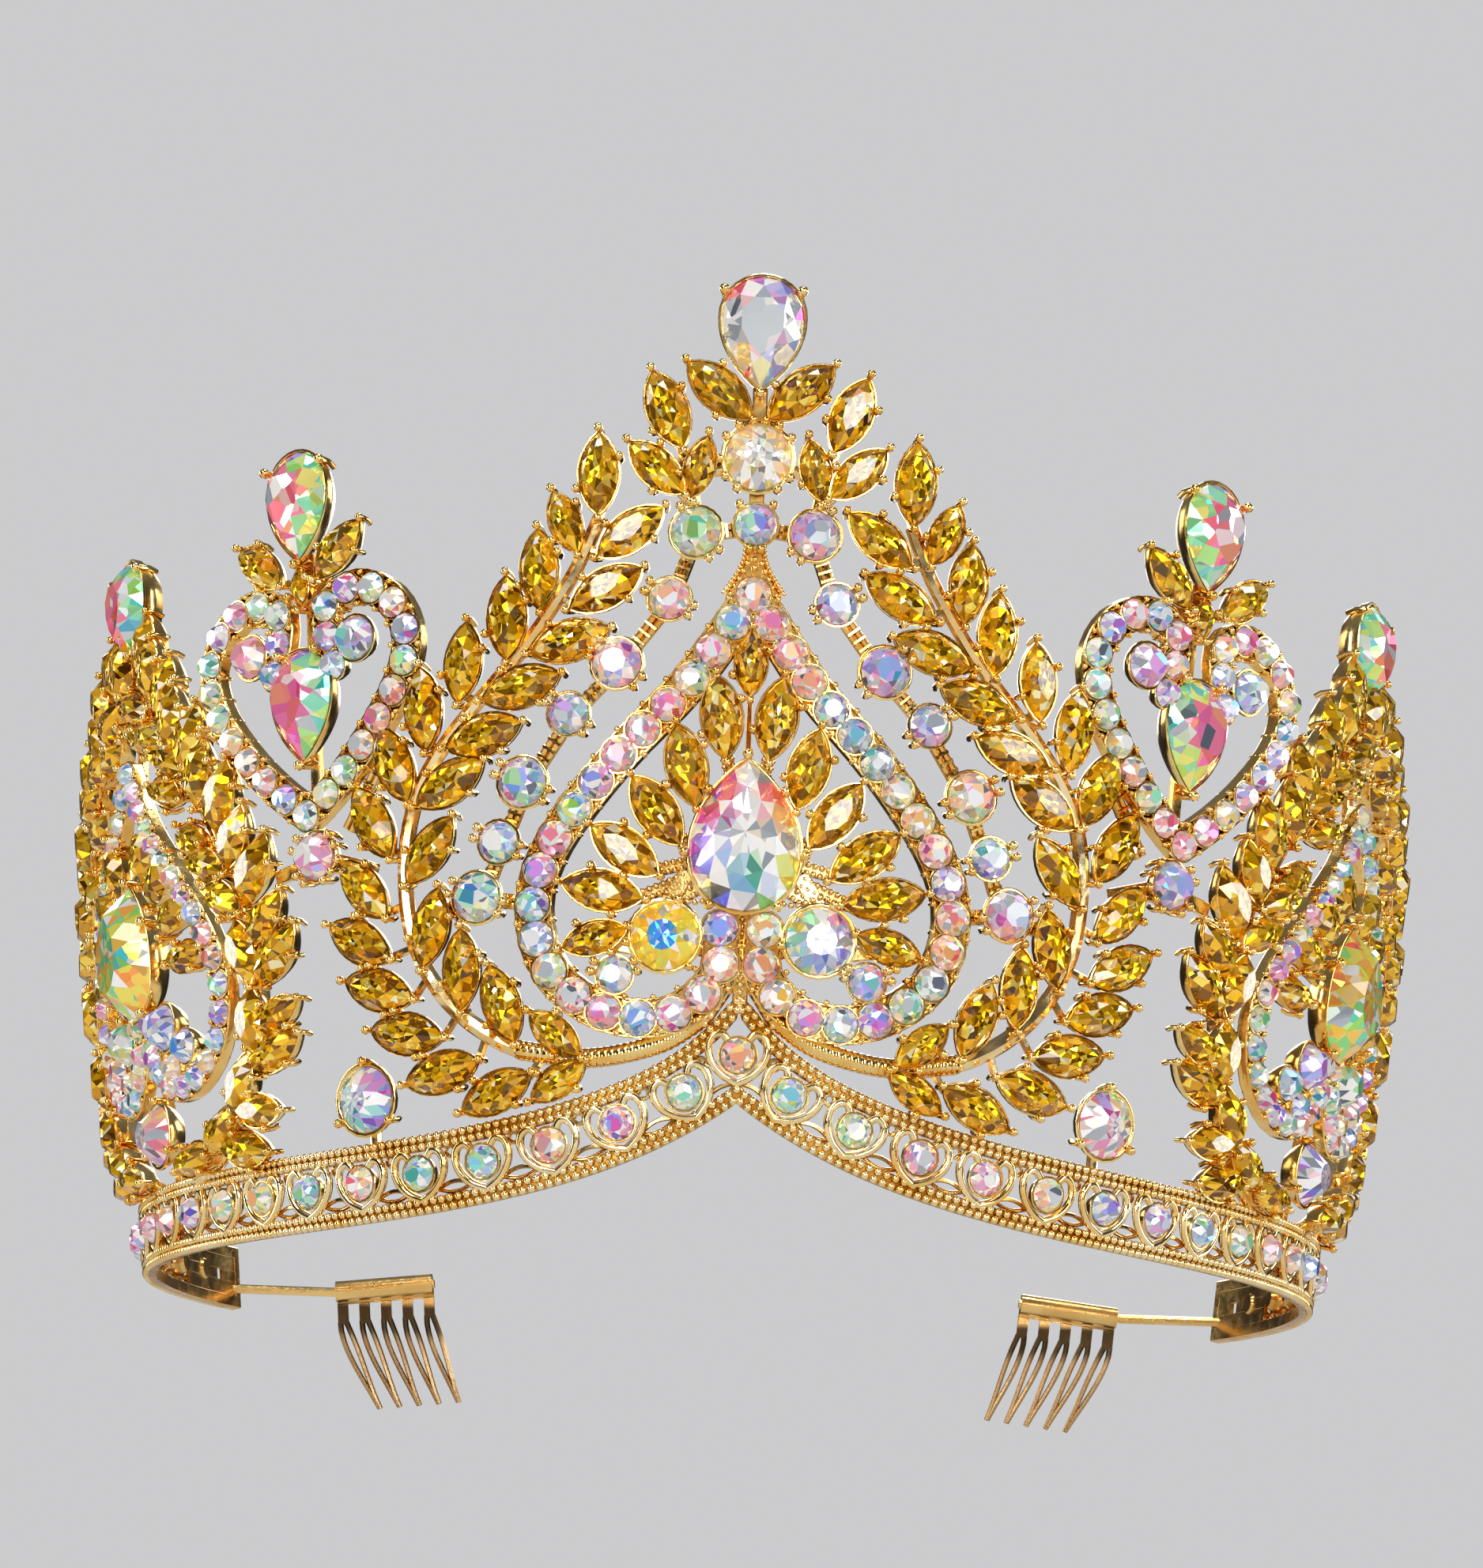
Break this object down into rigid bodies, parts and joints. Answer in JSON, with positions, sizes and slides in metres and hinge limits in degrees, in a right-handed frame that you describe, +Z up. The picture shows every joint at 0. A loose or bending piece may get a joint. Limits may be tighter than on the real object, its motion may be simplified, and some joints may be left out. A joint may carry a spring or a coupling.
{
  "type": "baroque crown",
  "caption": "Open-backed gilt baroque crown: a tall pierced front with leaf sprays, heart ornaments and set stones on a band of heart links, with a hair comb at each open end.",
  "frame": {"origin": "centre of the band's lower edge, on the head's axis, where the crown sits on a head", "axes": "+Z up, -Y towards the front, +X towards the crown's own left as it is seen from the front at the right"},
  "size_m": [0.1894, 0.1363, 0.1308],
  "materials": {
    "gilt": "polished",
    "comb_metal": "dull",
    "crystal": "cut, iridescent",
    "topaz": "cut"
  },
  "bodies": {
    "root": {"frame": "gilt", "comb_left": "comb_metal", "comb_right": "comb_metal", "centre_pear": "crystal", "panel_round_left": "crystal", "panel_round_right": "crystal", "crest_pear": "crystal", "crest_round": "crystal", "string_centre_round": "crystal", "string_rounds_left": "crystal", "string_rounds_right": "crystal", "outline_rounds": "crystal", "centre_leaves": "topaz", "crest_leaves": "topaz", "laurel_left": "topaz", "laurel_right": "topaz", "foot_round_left": "crystal", "foot_round_right": "crystal", "heart_pear_left": "crystal", "heart_pear_right": "crystal", "heart_top_pear_left": "crystal", "heart_top_pear_right": "crystal", "heart_foot_round_left": "crystal", "heart_foot_round_right": "crystal", "heart_leaves_left": "topaz", "heart_leaves_right": "topaz", "side_pear_left": "crystal", "side_pear_right": "crystal", "side_top_pear_left": "crystal", "side_top_pear_right": "crystal", "side_foot_round_left": "crystal", "side_foot_round_right": "crystal", "side_leaves_left": "topaz", "side_leaves_right": "topaz", "side_laurel_left": "topaz", "side_laurel_right": "topaz"}
  },
  "joints": []
}
